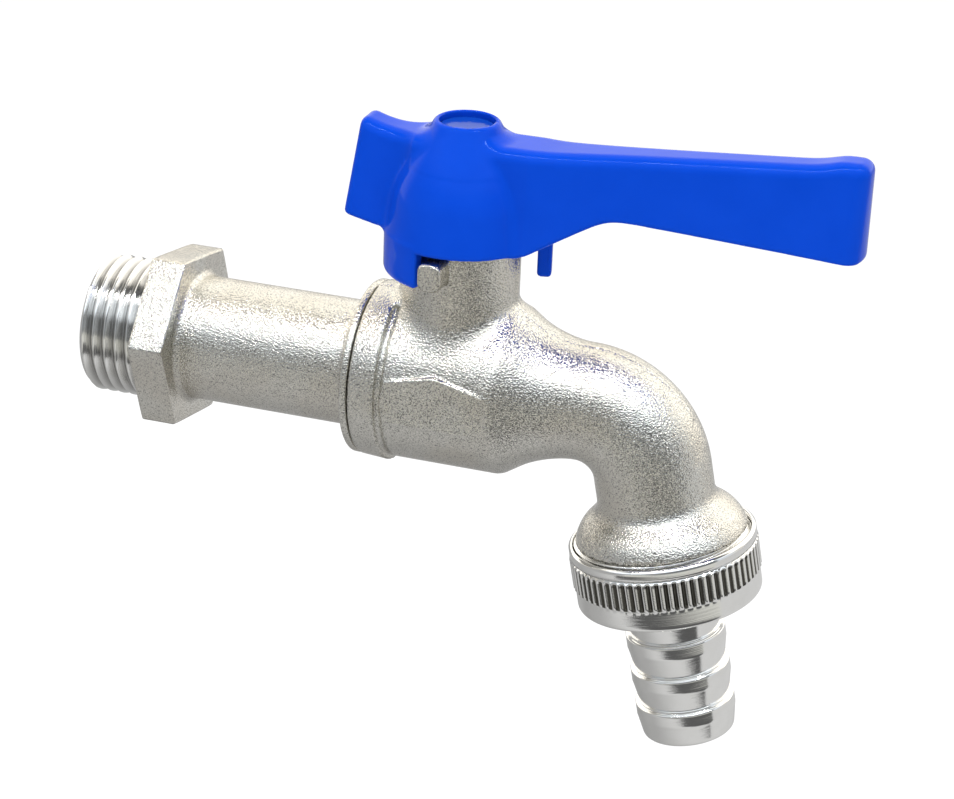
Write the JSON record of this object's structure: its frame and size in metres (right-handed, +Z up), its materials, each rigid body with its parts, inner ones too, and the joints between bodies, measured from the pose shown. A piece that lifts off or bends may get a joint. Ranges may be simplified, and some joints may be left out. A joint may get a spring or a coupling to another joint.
{
  "type": "frost-proof ball valve tap",
  "caption": "Wall-mounted quarter-turn ball valve tap with a long inlet tail, a bent spout, a flat lever and a union nut that holds a barbed hose tail.",
  "frame": {"origin": "on the inlet pipe axis, in the wall-side face of the hexagon, where the inlet thread begins", "axes": "+X along the pipe from the wall towards the spout, +Z up along the stem, +Y to the left of someone looking out from the wall"},
  "size_m": [0.1151, 0.0284, 0.094],
  "materials": {
    "cast_body": "shot-blasted nickel-plated brass casting, satin",
    "bright_metal": "machined and bright nickel plated",
    "lever_blue": "glossy blue powder coat",
    "cap_blue": "glossy blue plastic",
    "plain_brass": "machined brass",
    "plated_ball": "polished chrome plate",
    "white_seal": "moulded white sealing plastic",
    "black_rubber": "moulded rubber",
    "spring_steel": "drawn spring wire"
  },
  "bodies": {
    "valve_body": {"inlet_tail": "cast_body", "joint_gasket": "white_seal", "body": "cast_body", "seat_outlet": "white_seal", "stem_thrust_washer": "white_seal"},
    "lever": {"lever_handle": "lever_blue", "handle_lock_washer": "bright_metal", "handle_screw": "bright_metal", "handle_cap": "cap_blue", "stem": "plain_brass", "stem_o_ring_lower": "black_rubber", "stem_o_ring_upper": "black_rubber"},
    "ball": {"ball": "plated_ball"},
    "inlet_seat_carrier": {"seat_carrier": "plain_brass", "seat_inlet": "white_seal", "carrier_o_ring": "black_rubber", "relief_spring": "spring_steel"},
    "hose_connector": {"hose_tail": "bright_metal", "outlet_gasket": "black_rubber"},
    "nut": {"union_nut": "bright_metal"}
  },
  "joints": [
    {"name": "lever_turn", "type": "hinge", "parent": "valve_body", "child": "lever", "pos_m": [0.047, 0, 0], "axis": [0, 0, 1], "range_deg": [-90, 0]},
    {"name": "ball_turn", "type": "hinge", "parent": "valve_body", "child": "ball", "pos_m": [0.047, 0, 0], "axis": [0, 0, 1], "range_deg": [-90, 0]},
    {"name": "carrier_slide", "type": "slide", "parent": "valve_body", "child": "inlet_seat_carrier", "axis": [-1, 0, 0], "range_m": [0, 0.002], "stiffness_N_per_m": 4000, "springref_m": -0.0015, "deforming": ["relief_spring"]},
    {"name": "nut_turn", "type": "hinge", "parent": "hose_connector", "child": "nut", "pos_m": [0.07937, 0, -0.01861], "axis": [0.1994, 0, -0.9799], "range_deg": [0, 873.07]},
    {"name": "connector_slide", "type": "slide", "parent": "valve_body", "child": "hose_connector", "axis": [0.1994, 0, -0.9799], "range_m": [0, 0.0044]}
  ],
  "couplings": [
    {"joint": "ball_turn", "follows": "lever_turn", "ratio": 1},
    {"joint": "nut_turn", "follows": "connector_slide", "rad_per_m": 3463.2}
  ]
}
